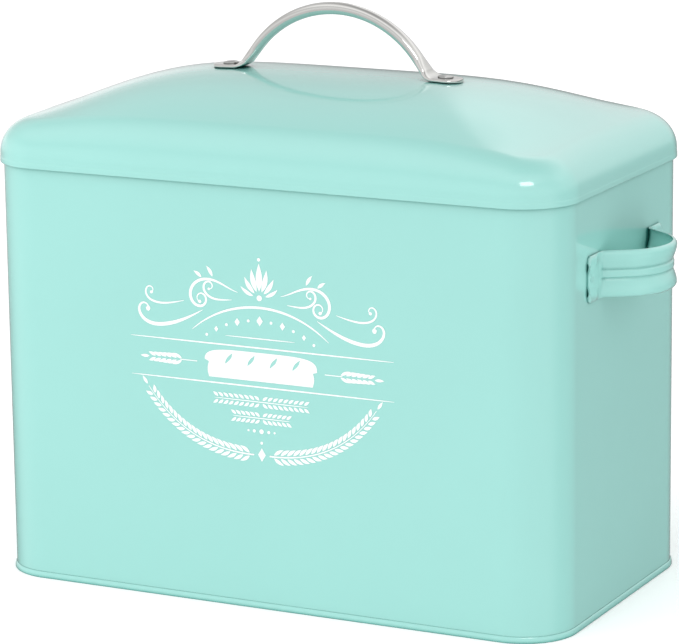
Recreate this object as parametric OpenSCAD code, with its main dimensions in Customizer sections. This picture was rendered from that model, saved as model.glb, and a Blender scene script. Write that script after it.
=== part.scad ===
// Bread box with a lift-off domed lid, in painted sheet steel, with a riveted lid handle and a
// ribbed strap handle on each end. Millimetres, +Z up, front towards -Y, origin under the middle.

/* [Sheet] */
// Thickness of the steel sheet of the body and the lid
sheet_t = 0.5; // [0.4:0.05:0.6]

/* [Body] */
// Outer width of the body
body_w = 326; // [310:1:340]
// Outer depth of the body
body_d = 181.4; // [176:0.2:190]
// Outer radius of the four upright corners
corner_r = 28.7; // [26:0.1:31]
// Height of the top of the rolled rim
rim_z = 234.9; // [231:0.1:235]
// Radius of the roll along the rim
rim_r = 1.5; // [1.2:0.1:1.6]
// Width of the lapped seam up the middle of the back
seam_w = 6; // [4:0.5:10]

/* [Base] */
// Height of the crimped ring that holds the bottom on
ring_h = 3.4; // [3:0.1:4]
// How far the crimped ring stands out from the wall
ring_proud = 1; // [0.8:0.1:1.2]
// Height of the underside of the raised bottom panel
panel_z = 4; // [3.6:0.1:5]

/* [Lid] */
// How far the lid's skirt stands out from the wall
lid_proud = 2; // [1.8:0.1:2.4]
// Height of the lower edge of the skirt
skirt_z = 222.9; // [221:0.1:224]
// Height of the straight part of the skirt
skirt_h = 5; // [4.8:0.1:6]
// Radius of the shoulder between the skirt and the top
shoulder_r = 16.3; // [15:0.1:18]
// Rise of the crown above the shoulder
crown_h = 24.1; // [20:0.1:26]
// How square the crown is along its width
crown_square_x = 4.66; // [3:0.02:6]
// How square the crown is along its depth
crown_square_y = 2.2; // [2:0.05:3]
// Height of the folded hem inside the skirt
hem_h = 4; // [3:0.1:4.4]
// Thickness of the skirt where the hem is folded
hem_t = 1.1; // [1:0.05:1.2]

/* [Lid handle] */
// Distance of each rivet from the middle of the lid
rivet_x = 63; // [60:0.5:68]
// Height of the middle of the bar at the top of the arch
arch_z = 302.3; // [298:0.1:306]
// Radius of the arch, to the middle of the bar
arch_r = 59; // [57:0.5:62]
// Slope of the legs below the arch, in degrees
leg_slope = 52.5; // [48:0.5:54]
// Radius of the bend between a leg and its tab, to the middle of the bar
bend_r = 8; // [5:0.5:9]
// Width and thickness of the bar at the top of the arch
bar_size = [6.8, 6.5]; // [5:0.1:9]
// Width and thickness of the bar at the top of a leg
leg_size = [8.2, 5.6]; // [4:0.1:10]
// Width and thickness of the flattened tabs
tab_size = [16, 1.9]; // [1.6:0.1:18]
// Distance from a rivet to the rounded end of its tab
tab_reach = 9.5; // [8:0.5:11]

/* [Rivets] */
// Diameter of the rivet's shank
rivet_d = 4; // [3.6:0.1:4.4]
// Diameter of the rivet's low domed head
head_d = 8.2; // [7:0.1:9]
// Height of the rivet's head
head_h = 1.2; // [0.8:0.1:1.6]
// Diameter of the washer under the lid
washer_d = 11; // [10:0.5:13]
// Thickness of the washer
washer_t = 0.8; // [0.6:0.1:1.2]
// Diameter of the clinched end of the rivet
clinch_d = 6.6; // [6:0.1:8]
// Height of the clinched end of the rivet
clinch_h = 1.4; // [1:0.1:2]

/* [End handles] */
// Height of the strap
strap_h = 24; // [20:0.5:28]
// Height of the middle of the strap above the base
strap_z = 180.5; // [170:0.5:190]
// How far the strap reaches out from the wall
strap_reach = 27; // [24:0.5:30]
// Radius of the outer part of the loop
strap_loop_r = 30; // [28:0.5:31]
// Angle that the loop turns through on each side of its middle, in degrees
strap_turn = 57; // [52:1:62]
// Distance from the middle of the loop to the end of each foot
foot_end = 48.5; // [46:0.5:52]
// Thickness of the strap's sheet
strap_t = 0.9; // [0.8:0.1:1.2]
// Depth of the valley pressed along the strap
valley_d = 2.2; // [1.5:0.1:2.6]

/* [Hidden] */

$fn = 96;
PAINT = [0.68, 0.91, 0.87];
CHROME = [0.80, 0.80, 0.79];
STEEL = [0.62, 0.62, 0.62];

// Clearance between the wall and the crimped ring around it
ring_gap = 0.05;
// Clearance of a rivet in its holes
rivet_gap = 0.05;
// Clearance between the washer and the curved inside of the lid
washer_gap = 0.35;
// Depth of the spot-weld dimple in each foot of an end handle, and its ball's radius
dimple_depth = 0.4;
dimple_ball_r = 9;

lid_w = body_w + 2 * lid_proud;
lid_d = body_d + 2 * lid_proud;
lid_r = corner_r + lid_proud;
shoulder_z = skirt_z + skirt_h;

// ---- Shared shapes ----

// A rectangle of the given size with round corners of radius r, centred
module rounded_plate(w, d, r) {
    square([w, d - 2 * r], center = true);
    square([w - 2 * r, d], center = true);
    for (sx = [-1, 1], sy = [-1, 1])
        translate([sx * (w / 2 - r), sy * (d / 2 - r)]) circle(r);
}

// The body's plan outline, moved outwards by out
module body_outline(out = 0) {
    rounded_plate(body_w + 2 * out, body_d + 2 * out, corner_r + out);
}

// An upright band that follows the body's outline between two offsets
module band(out, inside, z, h) {
    translate([0, 0, z])
        linear_extrude(h)
            difference() {
                body_outline(out);
                body_outline(inside);
            }
}

// Skin over a list of rings of equal length, closed by a fan at each end.
// The rings run so that, seen against the direction of travel, they turn anticlockwise.
module skin(rings, first, last) {
    n = len(rings[0]);
    m = len(rings);
    points = concat([first], [for (ring = rings) each ring], [last]);
    start_fan = [for (i = [0:n - 1]) [0, 1 + i, 1 + (i + 1) % n]];
    end_fan = [for (i = [0:n - 1])
        [n * m + 1, 1 + n * (m - 1) + (i + 1) % n, 1 + n * (m - 1) + i]];
    sides = [for (k = [0:m - 2], i = [0:n - 1])
        let (a = 1 + n * k + i, b = 1 + n * k + (i + 1) % n)
        each [[a, a + n, b], [b, a + n, b + n]]];
    polyhedron(points, concat(start_fan, sides, end_fan));
}

// ---- Body ----

// C-shaped section of the rolled rim, open towards the wall's inner face
module roll_section() {
    difference() {
        circle(rim_r);
        circle(rim_r - sheet_t);
        translate([-rim_r, -rim_r]) square([rim_r - sheet_t / 2, rim_r]);
    }
}

// The roll along the top of the wall: four straight lengths and four quarter turns
module rim_roll() {
    straight_x = body_w - 2 * corner_r;
    straight_y = body_d - 2 * corner_r;
    for (turn = [0, 180]) rotate([0, 0, turn]) {
        translate([body_w / 2 - rim_r, straight_y / 2, 0])
            rotate([90, 0, 0]) linear_extrude(straight_y) roll_section();
        translate([straight_x / 2, body_d / 2 - rim_r, 0])
            rotate([90, 0, 90]) mirror([1, 0, 0])
                translate([0, 0, -straight_x]) linear_extrude(straight_x)
                    mirror([1, 0, 0]) roll_section();
        for (side = [0, 1])
            mirror([side, 0, 0])
                translate([straight_x / 2, straight_y / 2, 0])
                    rotate_extrude(angle = 90)
                        translate([corner_r - rim_r, 0]) roll_section();
    }
}

// The wall is one sheet wrapped round and lapped up the middle of the back
module body_wall() {
    color(PAINT) {
        band(0, -sheet_t, sheet_t + ring_gap, rim_z - rim_r - sheet_t - ring_gap);
        translate([0, 0, rim_z - rim_r]) rim_roll();
        translate([-seam_w / 2, body_d / 2 - 2 * sheet_t, ring_h + 2])
            cube([seam_w, sheet_t, rim_z - 4 * rim_r - ring_h - 2]);
    }
}

// The bottom sheet: a ring folded round the wall's lower edge, and a raised panel inside it
module base_pan() {
    inner_face = -sheet_t - ring_gap;
    color(PAINT) {
        band(ring_proud, inner_face - sheet_t, 0, sheet_t);
        band(ring_proud, ring_gap, 0, ring_h);
        band(inner_face, inner_face - sheet_t, 0, panel_z + sheet_t);
        translate([0, 0, panel_z])
            linear_extrude(sheet_t) body_outline(inner_face);
    }
}

// ---- Lid ----

// Segments in each corner, along the front and along each end of the lid's outline
corner_steps = 8;
front_steps = 10;
end_steps = 6;
shoulder_steps = 6;
// Sizes of the rings across the crown, as fractions of the ring inside the shoulder
crown_rings = [0.92, 0.82, 0.72, 0.62, 0.52, 0.42, 0.32, 0.18];

// The lid's plan outline, inset by the given distance, as a list of points from +X anticlockwise
function lid_outline(inset) =
    let (r = lid_r - inset, cx = lid_w / 2 - lid_r, cy = lid_d / 2 - lid_r,
         centres = [[cx, cy], [-cx, cy], [-cx, -cy], [cx, -cy]])
    [for (k = [0:3])
        let (steps = k % 2 == 0 ? front_steps : end_steps,
             arc = [for (i = [0:corner_steps])
                 let (a = 90 * k + 90 * i / corner_steps) centres[k] + r * [cos(a), sin(a)]],
             next = centres[(k + 1) % 4] + r * [cos(90 * (k + 1)), sin(90 * (k + 1))])
        each concat(arc, [for (j = [1:steps - 1])
            arc[corner_steps] + (next - arc[corner_steps]) * j / steps])];

// Rise of the crown over a point in plan: flat-topped along X and rounder along Y
function crown(p) =
    crown_h * pow(1 - pow(min(1, 2 * abs(p[0]) / lid_w), crown_square_x), 2)
            * (1 - pow(min(1, 2 * abs(p[1]) / lid_d), crown_square_y));

function level_ring(inset, z) = [for (p = lid_outline(inset)) [p[0], p[1], z]];

// A ring on the shoulder, at an angle up from the skirt, on the sheet's face at depth t
function shoulder_ring(angle, t) =
    let (r = shoulder_r - t)
    [for (p = lid_outline(shoulder_r - r * cos(angle)))
        [p[0], p[1], shoulder_z + r * sin(angle) + crown(p)]];

function crown_ring(size, t) =
    [for (p = lid_outline(shoulder_r))
        [size * p[0], size * p[1], shoulder_z + shoulder_r - t + crown(size * p)]];

// Rings of one face of the lid from its middle down to the top of the straight skirt
function lid_face(t) = concat(
    [for (i = [len(crown_rings) - 1:-1:0]) crown_ring(crown_rings[i], t)],
    [for (i = [shoulder_steps:-1:0]) shoulder_ring(90 * i / shoulder_steps, t)]);

function reversed(list) = [for (i = [len(list) - 1:-1:0]) list[i]];

// Height of the lid's outer face over the lid's long middle line
function lid_top(x) = shoulder_z + shoulder_r + crown([x, 0]);

// Slope of the lid where a rivet goes through, in degrees down towards the end
rivet_slope = atan(lid_top(rivet_x - 0.5) - lid_top(rivet_x + 0.5));

// Places its children on the lid at a rivet, square to the sheet, with side 1 or -1
module at_rivet(side) {
    translate([side * rivet_x, 0, lid_top(rivet_x)]) rotate([0, side * rivet_slope, 0]) children();
}

module lid_shell() {
    hem = [level_ring(sheet_t, skirt_z + hem_h + hem_t - sheet_t),
           level_ring(hem_t, skirt_z + hem_h), level_ring(hem_t, skirt_z)];
    skirt_end = level_ring(0, skirt_z);
    top = [0, 0, lid_top(0)];
    color(PAINT)
        difference() {
            skin(concat(lid_face(sheet_t), hem, [skirt_end], reversed(lid_face(0))),
                 top - [0, 0, sheet_t], top);
            for (side = [-1, 1])
                at_rivet(side)
                    translate([0, 0, -4 * sheet_t])
                        cylinder(r = rivet_d / 2 + rivet_gap, h = 6 * sheet_t);
        }
}

// ---- Lid handle ----

// Points round one section of the bar, and rings along its parts
section_points = 16;
arch_rings = 14;
bend_rings = 5;

// The straight leg is as long as it takes for the tab to lie on the lid
tab_lift = tab_size[1] / 2;
bend_drop = bend_r * (cos(rivet_slope) - cos(leg_slope));
bend_run = bend_r * (sin(leg_slope) - sin(rivet_slope));
leg_top = [arch_r * sin(leg_slope), arch_z - arch_r * (1 - cos(leg_slope))];
leg_length =
    (leg_top[1] - bend_drop - lid_top(rivet_x) - tab_lift
        - (rivet_x - leg_top[0] - bend_run) * tan(rivet_slope))
    / (sin(leg_slope) - cos(leg_slope) * tan(rivet_slope));
bend_top = leg_top + leg_length * [cos(leg_slope), -sin(leg_slope)];
tab_start = bend_top + [bend_run, -bend_drop];

function mix(a, b, t) = a + (b - a) * t;

// A station of the bar: place [x, z], slope down in degrees, size [width, thickness]
function arch_station(t) =
    let (a = leg_slope * t)
    [[arch_r * sin(a), arch_z - arch_r * (1 - cos(a))], a, mix(bar_size, leg_size, t * t)];

function bend_station(t) =
    let (a = mix(leg_slope, rivet_slope, t))
    [bend_top + bend_r * [sin(leg_slope) - sin(a), cos(leg_slope) - cos(a)], a,
     mix(leg_size, tab_size, 1 - 0.6 * pow(1 - t, 2))];

// Along the tab: x is the distance past the rivet, and the end is a half circle
function tab_station(x) =
    let (half = tab_size[0] / 2, past = max(0, x - tab_reach + half))
    [[rivet_x + x * cos(rivet_slope),
      lid_top(rivet_x) + tab_lift - x * sin(rivet_slope)], rivet_slope,
     [2 * sqrt(max(0.01, half * half - past * past)), tab_size[1]]];

half_bar = concat(
    [for (i = [0:arch_rings]) arch_station(i / arch_rings)],
    [for (i = [0:bend_rings]) bend_station(i / bend_rings)],
    [for (x = [-2, 0, 2, 4, 6, 7.4, 8.4, 8.85]) tab_station(x * tab_reach / 9)]);

function mirrored(s) = [[-s[0][0], s[0][1]], -s[1], s[2]];

whole_bar = concat(
    [for (i = [len(half_bar) - 1:-1:1]) mirrored(half_bar[i])], half_bar);

// One section: round at the top of the arch, and squarer where the bar is flattened
function bar_ring(s) =
    let (power = mix(0.5, 1, (s[2][1] - tab_size[1]) / (bar_size[1] - tab_size[1])))
    [for (i = [0:section_points - 1])
        let (a = 360 * (i + 0.5) / section_points, c = cos(a), d = sin(a),
             across = s[2][0] / 2 * sign(c) * pow(abs(c), power),
             out = s[2][1] / 2 * sign(d) * pow(abs(d), power))
        [s[0][0] + out * sin(s[1]), across, s[0][1] + out * cos(s[1])]];

module lid_handle() {
    ends = [whole_bar[0], whole_bar[len(whole_bar) - 1]];
    color(CHROME)
        difference() {
            skin([for (s = whole_bar) bar_ring(s)],
                 [ends[0][0][0], 0, ends[0][0][1]], [ends[1][0][0], 0, ends[1][0][1]]);
            for (side = [-1, 1])
                at_rivet(side)
                    translate([0, 0, -tab_size[1]])
                        cylinder(r = rivet_d / 2 + rivet_gap, h = 3 * tab_size[1]);
        }
}

// ---- Rivets and washers ----

// A low domed disc of the given diameter and height, flat side down
module button(d, h) {
    ball_r = (d * d / 4 + h * h) / (2 * h);
    intersection() {
        translate([0, 0, h - ball_r]) sphere(ball_r);
        cylinder(d = d, h = h);
    }
}

// Depth below the lid's outer face at which the washer starts and ends
washer_top = sheet_t + washer_gap;
washer_bottom = washer_top + washer_t;

module lid_rivet(side) {
    color(CHROME)
        at_rivet(side) {
            translate([0, 0, tab_size[1]]) button(head_d, head_h);
            translate([0, 0, -washer_bottom])
                cylinder(d = rivet_d, h = washer_bottom + tab_size[1]);
            translate([0, 0, -washer_bottom]) mirror([0, 0, 1]) button(clinch_d, clinch_h);
        }
}

module lid_washer(side) {
    color(STEEL)
        at_rivet(side)
            translate([0, 0, -washer_bottom])
                difference() {
                    cylinder(d = washer_d, h = washer_t);
                    translate([0, 0, -washer_t])
                        cylinder(r = rivet_d / 2 + rivet_gap, h = 3 * washer_t);
                }
}

module lid_rivet_right() { lid_rivet(1); }
module lid_rivet_left() { lid_rivet(-1); }
module lid_washer_right() { lid_washer(1); }
module lid_washer_left() { lid_washer(-1); }

// ---- End handles ----

// Radius of the bend between a foot and the loop, rings along the parts
strap_bend_r = 3;
strap_bend_rings = 4;
strap_loop_rings = 12;
// Fractions of the half height at which the strap's relief is drawn
relief_rows = [1, 0.88, 0.6, 0.35, 0.2, 0.12, 0, -0.12, -0.2, -0.35, -0.6, -0.88, -1];

// Relief pressed in the strap: rolled edges, a wide valley and a bead along its middle
function relief(u) =
    let (v = abs(u))
    -1.2 * pow(max(0, v - 0.82) / 0.18, 2)
    - valley_d * (v < 0.82 ? 0.5 + 0.5 * cos(180 * v / 0.82) : 0)
    + (v < 0.15 ? 0.8 : 0);

loop_x = strap_reach - strap_loop_r;
loop_start = [loop_x + strap_loop_r * cos(strap_turn), strap_loop_r * sin(strap_turn)];
bend_height = strap_t + strap_bend_r * (1 - cos(strap_turn));
bend_end = [bend_height, loop_start[1]
    + (loop_start[0] - bend_height) / tan(strap_turn)];
foot_start = bend_end[1] + strap_bend_r * sin(strap_turn);

// A station of the strap's outer face: [out, along], heading, depth of the relief, height
function loop_station(a) =
    [[loop_x + strap_loop_r * cos(a), strap_loop_r * sin(a)], a, 1, 1];

function strap_bend(t) =
    let (a = strap_turn * t)
    [[strap_t + strap_bend_r * (1 - cos(a)), foot_start - strap_bend_r * sin(a)], a, pow(t, 3), 1];

// Across the foot: t runs from 0 at the bend to 1 at the rounded end
function foot_station(t) =
    [[strap_t, mix(foot_start, foot_end, t)], 0, 0, 1 - 0.25 * pow(max(0, t - 0.75) / 0.25, 2)];

half_strap = concat(
    [for (i = [0:strap_loop_rings / 2]) loop_station(strap_turn * 2 * i / strap_loop_rings)],
    [for (i = [strap_bend_rings:-1:0]) strap_bend(i / strap_bend_rings)],
    [for (t = [0.75, 0.9, 1]) foot_station(t)]);

function mirrored_strap(s) = [[s[0][0], -s[0][1]], -s[1], s[2], s[3]];

whole_strap = concat(
    [for (i = [len(half_strap) - 1:-1:1]) mirrored_strap(half_strap[i])], half_strap);

// One section of the strap: down its outer face and back up its inner face
function strap_ring(s) =
    let (face = function (u, depth)
        let (out = s[2] * relief(u) - depth)
        [s[0][0] + out * cos(s[1]), s[0][1] + out * sin(s[1]), u * s[3] * strap_h / 2])
    concat([for (u = relief_rows) face(u, 0)],
           [for (u = reversed(relief_rows)) face(u, strap_t)]);

module strap() {
    ends = [whole_strap[0], whole_strap[len(whole_strap) - 1]];
    dimple_y = (foot_start + foot_end) / 2;
    color(PAINT)
        translate([body_w / 2, 0, strap_z])
            difference() {
                skin([for (s = whole_strap) strap_ring(s)],
                     [strap_t / 2, ends[0][0][1], 0], [strap_t / 2, ends[1][0][1], 0]);
                for (side = [-1, 1])
                    translate([strap_t + dimple_ball_r - dimple_depth, side * dimple_y, 0])
                        sphere(dimple_ball_r);
            }
}

module side_handle_right() { strap(); }
module side_handle_left() { mirror([1, 0, 0]) strap(); }

// ---- Nodes ----

body_wall();
base_pan();
side_handle_right();
side_handle_left();
lid_shell();
lid_handle();
lid_rivet_right();
lid_rivet_left();
lid_washer_right();
lid_washer_left();
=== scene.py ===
"""Looks of a bread box: a painted tin with a lift-off domed lid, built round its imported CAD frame.

Metres, +Z up, the front faces -Y. Places come from the frame's boxes, and the few driving
dimensions below are the ones that the CAD model has too."""
import math

import bmesh
import bpy
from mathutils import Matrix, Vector


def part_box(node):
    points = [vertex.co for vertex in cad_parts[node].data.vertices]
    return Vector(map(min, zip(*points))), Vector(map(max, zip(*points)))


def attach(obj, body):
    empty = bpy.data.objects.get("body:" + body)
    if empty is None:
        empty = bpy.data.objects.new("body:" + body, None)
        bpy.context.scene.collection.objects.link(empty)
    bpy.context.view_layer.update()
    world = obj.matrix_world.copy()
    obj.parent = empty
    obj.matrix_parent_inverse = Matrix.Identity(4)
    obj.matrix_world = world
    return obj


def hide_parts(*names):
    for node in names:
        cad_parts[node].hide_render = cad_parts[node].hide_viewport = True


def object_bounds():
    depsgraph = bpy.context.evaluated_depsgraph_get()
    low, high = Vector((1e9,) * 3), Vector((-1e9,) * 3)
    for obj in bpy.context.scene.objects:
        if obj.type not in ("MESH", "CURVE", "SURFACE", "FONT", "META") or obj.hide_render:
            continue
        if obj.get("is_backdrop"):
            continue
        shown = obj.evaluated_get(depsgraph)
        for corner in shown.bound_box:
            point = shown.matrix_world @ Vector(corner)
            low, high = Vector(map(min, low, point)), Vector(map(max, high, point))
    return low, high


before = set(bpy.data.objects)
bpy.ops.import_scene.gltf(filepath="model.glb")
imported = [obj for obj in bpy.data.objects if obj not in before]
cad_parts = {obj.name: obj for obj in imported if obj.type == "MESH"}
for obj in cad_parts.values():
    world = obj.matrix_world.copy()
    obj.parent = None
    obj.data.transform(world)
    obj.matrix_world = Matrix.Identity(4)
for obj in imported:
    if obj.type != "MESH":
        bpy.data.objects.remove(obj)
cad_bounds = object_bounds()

MM = 0.001

# ---- Places from the frame ----

wall_low, wall_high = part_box("body_wall")
pan_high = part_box("base_pan")[1]
lid_low, lid_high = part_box("lid_shell")
bar_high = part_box("lid_handle")[1]
strap_low, strap_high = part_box("side_handle_right")

# ---- Driving dimensions, as in the CAD model ----

SHEET = 0.5 * MM
CORNER_R = 28.7 * MM
LID_R = CORNER_R + lid_high.x - wall_high.x
RIM_R = 1.5 * MM
RING_H = 3.4 * MM
RING_GAP = 0.05 * MM
PANEL_Z = pan_high.z - SHEET

SKIRT_H = 5.0 * MM
SHOULDER_R = 16.3 * MM
HEM_T = 1.1 * MM
HEM_H = 4.0 * MM
SHOULDER_Z = lid_low.z + SKIRT_H
CROWN_H = lid_high.z - SHOULDER_Z - SHOULDER_R
CROWN_SQUARE_X = 4.66
CROWN_SQUARE_Y = 2.2

RIVET_X = 63 * MM
ARCH_R = 59 * MM
LEG_SLOPE = math.radians(52.5)
BEND_R = 8 * MM
BAR_SIZE = (6.8 * MM, 6.5 * MM)
LEG_SIZE = (8.2 * MM, 5.6 * MM)
TAB_SIZE = (16 * MM, 1.9 * MM)
TAB_REACH = 9.5 * MM
RIVET_D = 4 * MM
HEAD_D = 8.2 * MM
HEAD_H = 1.2 * MM
CLINCH_D = 6.6 * MM
CLINCH_H = 1.4 * MM
WASHER_GAP = 0.35 * MM
WASHER_T = 0.8 * MM
WASHER_BOTTOM = SHEET + WASHER_GAP + WASHER_T

STRAP_T = 0.9 * MM
STRAP_BEND_R = 3 * MM
STRAP_LOOP_R = 30 * MM
STRAP_TURN = math.radians(57)
VALLEY_D = 2.2 * MM
BEAD_H = 0.8 * MM


# ---- Mesh building ----

class Shell:
    """Collects the points and faces of one closed mesh."""

    def __init__(self):
        self.points = []
        self.faces = []

    def row(self, points):
        first = len(self.points)
        self.points.extend(points)
        return list(range(first, len(self.points)))

    def join(self, a, b, closed=True):
        """Quads between two rows of equal length."""
        for i in range(len(a) if closed else len(a) - 1):
            j = (i + 1) % len(a)
            self.faces.append((a[i], a[j], b[j], b[i]))

    def loft(self, rows, closed=True):
        for a, b in zip(rows, rows[1:]):
            self.join(a, b, closed)

    def fan(self, ring, centre):
        tip = self.row([centre])[0]
        for i, index in enumerate(ring):
            self.faces.append((index, ring[(i + 1) % len(ring)], tip))

    def build(self, name, material, sharp_angle=math.radians(40)):
        mesh = bpy.data.meshes.new(name)
        mesh.from_pydata([tuple(p) for p in self.points], [], self.faces)
        work = bmesh.new()
        work.from_mesh(mesh)
        bmesh.ops.remove_doubles(work, verts=work.verts, dist=1e-7)
        bmesh.ops.recalc_face_normals(work, faces=work.faces)
        work.to_mesh(mesh)
        work.free()
        mesh.shade_smooth()
        mesh.set_sharp_from_angle(angle=sharp_angle)
        mesh.materials.append(material)
        piece = bpy.data.objects.new(name, mesh)
        bpy.context.scene.collection.objects.link(piece)
        return piece


def mix(a, b, t):
    return a + (b - a) * t


def mix_pair(a, b, t):
    return tuple(mix(x, y, t) for x, y in zip(a, b))


def ease(t):
    t = min(1.0, max(0.0, t))
    return t * t * (3 - 2 * t)


def spread(steps):
    return [i / steps for i in range(steps + 1)]


class Plan:
    """A rounded rectangle seen from above, cut into the same number of points at any inset.

    Its points run anticlockwise from the middle of the front left corner, and each side runs
    from mid corner to mid corner, so the four sides can also bound a grid."""

    ARC_STEPS = 14
    # Cuts this close to a side's ends keep the flat stretch flat beside the round corner
    SUPPORT = 0.006

    def __init__(self, half_x, half_y, radius, cuts_x, cuts_y):
        self.half_x, self.half_y, self.radius = half_x, half_y, radius
        self.cuts = [self.with_support(cuts_x), self.with_support(cuts_y)]
        self.side_counts = [2 * self.ARC_STEPS + len(c) - 1 for c in self.cuts]

    def with_support(self, cuts):
        return sorted(set(cuts) | {self.SUPPORT, 1 - self.SUPPORT})

    def ring(self, inset):
        r = self.radius - inset
        cx, cy = self.half_x - self.radius, self.half_y - self.radius
        centres = [Vector((-cx, -cy)), Vector((cx, -cy)), Vector((cx, cy)), Vector((-cx, cy))]
        points = []
        for side in range(4):
            start, end = centres[side], centres[(side + 1) % 4]
            facing = math.radians(90 * side - 90)
            steps = range(self.ARC_STEPS)
            quarter = math.pi / 4
            for k in steps:
                points.append(start + polar(r, facing - quarter + quarter * k / self.ARC_STEPS))
            for cut in self.cuts[side % 2]:
                points.append(start.lerp(end, cut) + polar(r, facing))
            for k in steps[1:]:
                points.append(end + polar(r, facing + quarter * k / self.ARC_STEPS))
        return points

    def grid(self, inset):
        """Rows of plan points that fill the ring, from front to back."""
        ring = self.ring(inset)
        nx, ny = self.side_counts
        front = ring[:nx + 1]
        right = ring[nx:nx + ny + 1]
        back = ring[nx + ny:2 * nx + ny + 1][::-1]
        left = [ring[0]] + ring[:2 * nx + ny - 1:-1]
        across, along = run_fractions(front), run_fractions(right)
        rows = []
        for j, v in enumerate(along):
            row = []
            for i, u in enumerate(across):
                edges = (1 - v) * front[i] + v * back[i] + (1 - u) * left[j] + u * right[j]
                near = front[0].lerp(front[-1], u)
                far = back[0].lerp(back[-1], u)
                row.append(edges - near.lerp(far, v))
            rows.append(row)
        return rows


def polar(r, angle):
    return Vector((r * math.cos(angle), r * math.sin(angle)))


def run_fractions(points):
    """How far along the run each point is, from 0 to 1."""
    lengths = [0.0]
    for a, b in zip(points, points[1:]):
        lengths.append(lengths[-1] + (b - a).length)
    return [length / lengths[-1] for length in lengths]


def fill_plan(shell, ring, rows):
    """Fills a ring of indices with the inner points of its grid rows."""
    nx, ny = len(rows[0]) - 1, len(rows) - 1
    index = [[None] * (nx + 1) for _ in range(ny + 1)]
    for i in range(nx + 1):
        index[0][i] = ring[i]
        index[ny][i] = ring[2 * nx + ny - i]
    for j in range(1, ny):
        index[j][nx] = ring[nx + j]
        index[j][0] = ring[-j]
        index[j][1:nx] = shell.row(rows[j][1:nx])
    shell.loft(index, closed=False)


def arc_profile(inset, z, radius, start, end, steps):
    """Profile points (inset, z) round an arc; 0 degrees points outwards and 90 up."""
    points = []
    for t in spread(steps):
        a = math.radians(mix(start, end, t))
        points.append((inset - radius * math.cos(a), z + radius * math.sin(a)))
    return points


def no_shift(x, y, inset, z):
    return x, y, z


def profile_rows(shell, plan, profile, shift=no_shift):
    return [shell.row([shift(p.x, p.y, inset, z) for p in plan.ring(inset)])
            for inset, z in profile]


# ---- Node materials ----

class Nodes:
    """A short way to write a material's node tree."""

    def __init__(self, name):
        self.material = bpy.data.materials.new(name)
        self.material.use_nodes = True
        self.tree = self.material.node_tree
        self.tree.nodes.clear()
        self.output = self.tree.nodes.new("ShaderNodeOutputMaterial")
        self.shader = self.tree.nodes.new("ShaderNodeBsdfPrincipled")
        self.link(self.shader, "BSDF", self.output, "Surface")
        self.place = self.tree.nodes.new("ShaderNodeTexCoord")

    def link(self, source, out, target, into):
        self.tree.links.new(source.outputs[out], target.inputs[into])

    def set(self, **values):
        for name, value in values.items():
            self.shader.inputs[name.replace("_", " ")].default_value = value

    def noise(self, scale, detail=2.0, stretch=(1, 1, 1), roughness=0.5):
        mapping = self.tree.nodes.new("ShaderNodeMapping")
        mapping.inputs["Scale"].default_value = stretch
        self.link(self.place, "Object", mapping, "Vector")
        node = self.tree.nodes.new("ShaderNodeTexNoise")
        node.inputs["Scale"].default_value = scale
        node.inputs["Detail"].default_value = detail
        node.inputs["Roughness"].default_value = roughness
        self.link(mapping, "Vector", node, "Vector")
        return node

    def ramp(self, source, out, stops):
        """A colour ramp over the source; stops are (position, colour)."""
        node = self.tree.nodes.new("ShaderNodeValToRGB")
        elements = node.color_ramp.elements
        while len(elements) < len(stops):
            elements.new(0.5)
        for element, (position, colour) in zip(elements, stops):
            element.position = position
            element.color = (*colour, 1)
        self.link(source, out, node, "Fac")
        return node

    def scale(self, source, out, low, high, into, from_low=0.3, from_high=0.7):
        """Sends a value to a shader socket, spread between low and high."""
        node = self.tree.nodes.new("ShaderNodeMapRange")
        node.inputs["From Min"].default_value = from_low
        node.inputs["From Max"].default_value = from_high
        node.inputs["To Min"].default_value = low
        node.inputs["To Max"].default_value = high
        self.link(source, out, node, "Value")
        self.link(node, "Result", self.shader, into)

    def blend(self, base, top, share):
        """Mixes the colours of two sockets by a share from 0 to 1, and gives the new socket."""
        node = self.tree.nodes.new("ShaderNodeMix")
        node.data_type = "RGBA"
        self.tree.links.new(base, node.inputs[6])
        self.tree.links.new(top, node.inputs[7])
        self.tree.links.new(share, node.inputs["Factor"])
        return node.outputs[2]

    def painted_gap_shade(self, base, depth, dark):
        """The colour of a socket, with painted shade that darkens it in gaps narrower than the
        depth.
        """
        gaps = self.tree.nodes.new("ShaderNodeAmbientOcclusion")
        gaps.samples = 8
        gaps.inputs["Distance"].default_value = depth
        share = self.ramp(gaps, "AO", [(0.45, (1, 1, 1)), (0.9, (0, 0, 0))])
        shadow = self.tree.nodes.new("ShaderNodeRGB")
        shadow.outputs[0].default_value = (*dark, 1)
        return self.blend(base, shadow.outputs[0], share.outputs[0])

    def colour(self, socket):
        self.tree.links.new(socket, self.shader.inputs["Base Color"])

    def bump(self, layers):
        """Stacks bumps; layers are (height node, strength, distance)."""
        last = None
        for height, strength, distance in layers:
            node = self.tree.nodes.new("ShaderNodeBump")
            node.inputs["Strength"].default_value = strength
            node.inputs["Distance"].default_value = distance
            self.tree.links.new(height.outputs[0], node.inputs["Height"])
            if last:
                self.link(last, "Normal", node, "Normal")
            last = node
        self.link(last, "Normal", self.shader, "Normal")


def shade(colour, factor):
    return tuple(min(1.0, c * factor) for c in colour)


MINT = (0.322, 0.668, 0.615)
# Teal painted shade that the enamel's colour takes in narrow gaps, as under the lid's skirt
MINT_PAINTED_SHADE = (0.05, 0.3, 0.26)
MINT_RUBBED = ((0.48, 0.76, 0.72), (0.52, 0.79, 0.74))


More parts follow.
